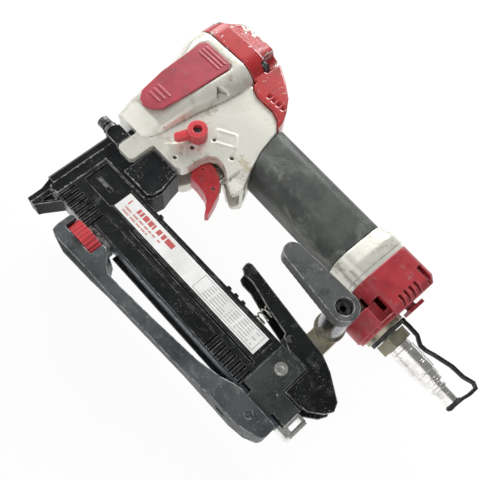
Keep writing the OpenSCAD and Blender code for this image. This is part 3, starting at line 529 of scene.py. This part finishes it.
def merged_copy(node, name):
    """A new object with the node's shape, its vertices joined."""
    work = bmesh.new()
    work.from_mesh(frame["nodes"][node].data)
    bmesh.ops.remove_doubles(work, verts=work.verts, dist=1e-6)
    mesh = bpy.data.meshes.new(name)
    work.to_mesh(mesh)
    work.free()
    piece = bpy.data.objects.new(name, mesh)
    bpy.context.collection.objects.link(piece)
    return piece


def recast(node, voxel, passes, keep=0.35):
    """Stands a soft-edged copy of a CAD node in its place, as a casting or moulding looks."""
    piece = merged_copy(node, node + "_cast")
    remesh = piece.modifiers.new("remesh", "REMESH")
    remesh.mode = "VOXEL"
    remesh.voxel_size = voxel * MM
    smooth = piece.modifiers.new("smooth", "SMOOTH")
    smooth.factor = 0.5
    smooth.iterations = passes
    thin = piece.modifiers.new("thin", "DECIMATE")
    thin.ratio = keep
    applied(piece)
    for face in piece.data.polygons:
        face.use_smooth = True
    finish_piece(piece, node)


def finish_piece(piece, node):
    dress(piece, node)
    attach(piece, BODY_OF[node])
    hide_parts(node)


PLUG_MOUNT = next(m for m in RECORD["mounts"] if m["name"] == "air_plug_nose")


def lathe(name, rings, at, along, turns=48):
    """A turned solid: rings of (distance, radius) in mm along a line through at."""
    work = bmesh.new()
    line = Vector(along).normalized()
    side = line.orthogonal().normalized()
    other = line.cross(side)
    loops = []
    for distance, radius in rings:
        centre = Vector(at) + line * distance * MM
        loops.append([work.verts.new(centre + (side * math.cos(a) + other * math.sin(a)) * radius * MM)
                      for a in (2 * math.pi * i / turns for i in range(turns))])
    for a, b in zip(loops, loops[1:]):
        for i in range(turns):
            work.faces.new((a[i], a[(i + 1) % turns], b[(i + 1) % turns], b[i]))
    work.faces.new(loops[0])
    work.faces.new(list(reversed(loops[-1])))
    bmesh.ops.recalc_face_normals(work, faces=work.faces)
    mesh = bpy.data.meshes.new(name)
    work.to_mesh(mesh)
    work.free()
    piece = bpy.data.objects.new(name, mesh)
    bpy.context.collection.objects.link(piece)
    for face in mesh.polygons:
        face.use_smooth = True
    mesh.set_sharp_from_angle(angle=math.radians(30))
    return piece


def turned_profile(steps, groove_at):
    """Rings of a stepped rod with small chamfers, and grooves round it."""
    # in mm: the chamfer, a groove's depth and half its width at the top, half its width at the bottom
    chamfer = 0.35
    groove = 0.35
    floor = 0.2
    rings = []
    for x0, x1, radius in steps:
        rings += [(x0, radius - chamfer), (x0 + chamfer, radius)]
        for g in (v for v in groove_at if x0 < v < x1):
            rings += [(g - groove, radius), (g - floor, radius - groove)]
            rings += [(g + floor, radius - groove), (g + groove, radius)]
        rings += [(x1 - chamfer, radius), (x1, radius - chamfer)]
    return rings


def air_plug():
    """The bright stepped plug, with split lines, a ball neck and a bored end."""
    # distances along the plug in mm; the mount is at nose
    nose = 59.5
    steps = [(-16, 6.9, 5.9), (6.9, 15.1, 7.5), (15.2, 19.0, 8.0), (19.0, 40.0, 8.7), (40.0, 45.0, 7.6),
             (45.0, 49.0, 7.0), (49.0, 51.5, 4.7), (51.5, 54.0, 6.0), (54.0, 64.9, 5.0)]
    rings = turned_profile(steps, (22.0, 31.5, 33.0, 47.0, 58.0))
    rings += [(64.9, 3.3), (55.0, 3.2)]
    piece = lathe("air_plug_turned", [(x - nose, r) for x, r in rings],
                  PLUG_MOUNT["pos_m"], PLUG_MOUNT["axis"])
    finish_piece(piece, "air_plug")


# node: voxel in mm, smoothing passes. The driver has 0.2 mm of room in the nose body, which is not smoothed.
SOFT_EDGED = {
    "housing": (0.7, 5),
    "head_cap": (0.6, 4),
    "left_pad": (0.35, 3),
    "right_pad": (0.35, 3),
    "grip_sleeve": (0.6, 3),
    "end_cap": (0.45, 3),
    "duster_button": (0.35, 2),
    "trigger": (0.35, 3),
    "lock_knob": (0.3, 3),
    "nose_plate": (0.4, 2),
    "nose_body": (0.3, 0),
    "left_cover": (0.3, 2),
    "right_cover": (0.35, 2),
    "end_block": (0.4, 2),
    "latch_lever": (0.4, 2),
    "hook_arm": (0.5, 5),
    "base_arm": (0.5, 4),
    "depth_dial": (0.3, 2),
    "rail_handle": (0.3, 2),
    "rear_strut": (0.4, 2),
    "plug_cap_strap": (0.3, 4),
}

for cad_node, (voxel, passes) in SOFT_EDGED.items():
    recast(cad_node, voxel, passes)

air_plug()

# node: the joint that presses it, the height of its held end in mm, share of its length left
PRESSED = {
    "lever_spring": ("latch_press", 61.0, 0.57),
    "head_valve_spring": ("head_valve_lift", 206.8, 0.84),
    "trigger_spring": ("trigger_pull", 128.0, 0.74),
}

for cad_node, (joint, held, left) in PRESSED.items():
    wire = merged_copy(cad_node, cad_node + "_wire")
    finish_piece(wire, cad_node)
    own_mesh(wire)

REBUILT = set(SOFT_EDGED) | set(PRESSED) | {"air_plug"}

for cad_node, obj in frame["nodes"].items():
    if cad_node not in REBUILT:
        dress(obj, cad_node)

add_camera()
add_studio()
